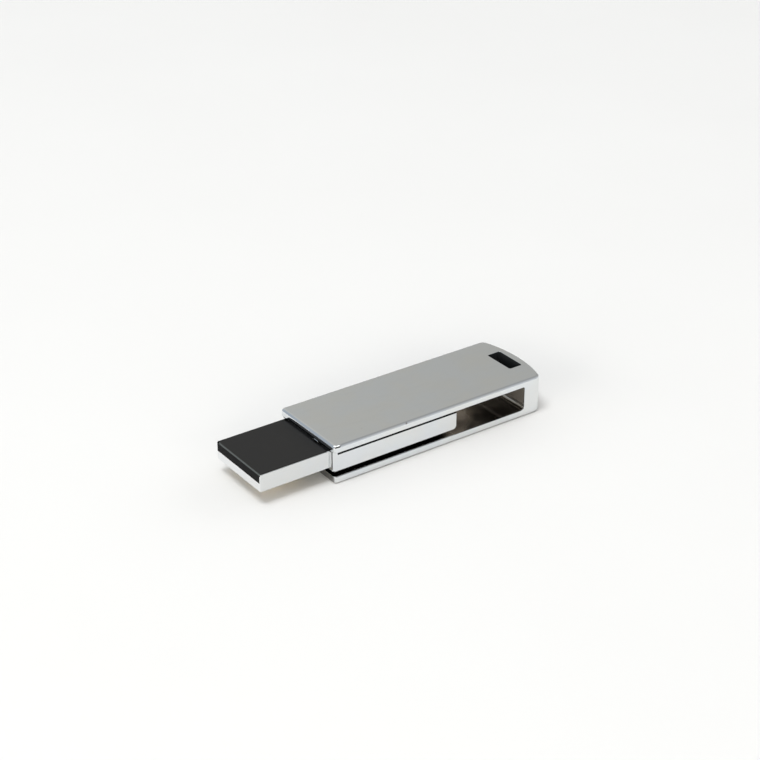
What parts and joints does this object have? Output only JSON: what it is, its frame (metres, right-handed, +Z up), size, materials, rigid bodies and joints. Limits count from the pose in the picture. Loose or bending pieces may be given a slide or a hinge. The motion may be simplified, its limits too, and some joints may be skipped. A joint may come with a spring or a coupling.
{
  "type": "usb flash drive",
  "caption": "Slide-out metal USB flash drive: a carriage with a slim black-topped plug runs in a flat chrome sleeve with open sides, a bowed rear end and a lanyard slot.",
  "frame": {"origin": "centre of the sleeve's flat underside", "axes": "+X from the plug to the lanyard end, along the slide; +Y across the width; +Z up through the sleeve's thickness"},
  "size_m": [0.0519, 0.0146, 0.0063],
  "materials": {
    "chrome_plate": "bright chrome plate on a polished die casting, faint wiping marks",
    "chrome_sheet": "bright chrome plate on polished sheet metal",
    "pin_steel": "turned stainless steel, satin",
    "spring_steel": "rolled spring steel, satin",
    "black_plastic": "fine matt moulded finish",
    "adhesive_tape": "matt acrylic foam tape",
    "contact_gold": "hard gold over nickel, satin",
    "circuit_board": "dark green solder resist, semi gloss",
    "mould_resin": "matt black moulding resin",
    "silicon": "polished silicon",
    "die_film": "thin amber film",
    "wire_gold": "bright drawn gold wire",
    "capacitor_ceramic": "fired ceramic, matt tan",
    "resistor_ceramic": "glazed black film on ceramic",
    "crystal_can": "nickel plated lid, satin"
  },
  "bodies": {
    "sleeve": {"sleeve": "chrome_plate", "stop_pin": "pin_steel"},
    "carriage": {"carriage_tray": "chrome_sheet", "carriage_cover": "chrome_sheet", "inner_frame": "black_plastic", "detent_spring": "spring_steel", "spring_rivets": "pin_steel", "connector_shell": "chrome_sheet", "tongue_cover": "black_plastic", "adhesive_pad": "adhesive_tape", "usb_contacts": "contact_gold", "module_substrate": "circuit_board", "module_encapsulant": "mould_resin", "controller_die": "silicon", "memory_die_stack": "silicon", "die_attach_film": "die_film", "bond_wires": "wire_gold", "chip_capacitors": "capacitor_ceramic", "chip_resistors": "resistor_ceramic", "crystal_oscillator": "crystal_can"}
  },
  "joints": [
    {"name": "carriage_slide", "type": "slide", "parent": "sleeve", "child": "carriage", "axis": [1, 0, 0], "range_m": [0, 0.012]}
  ]
}
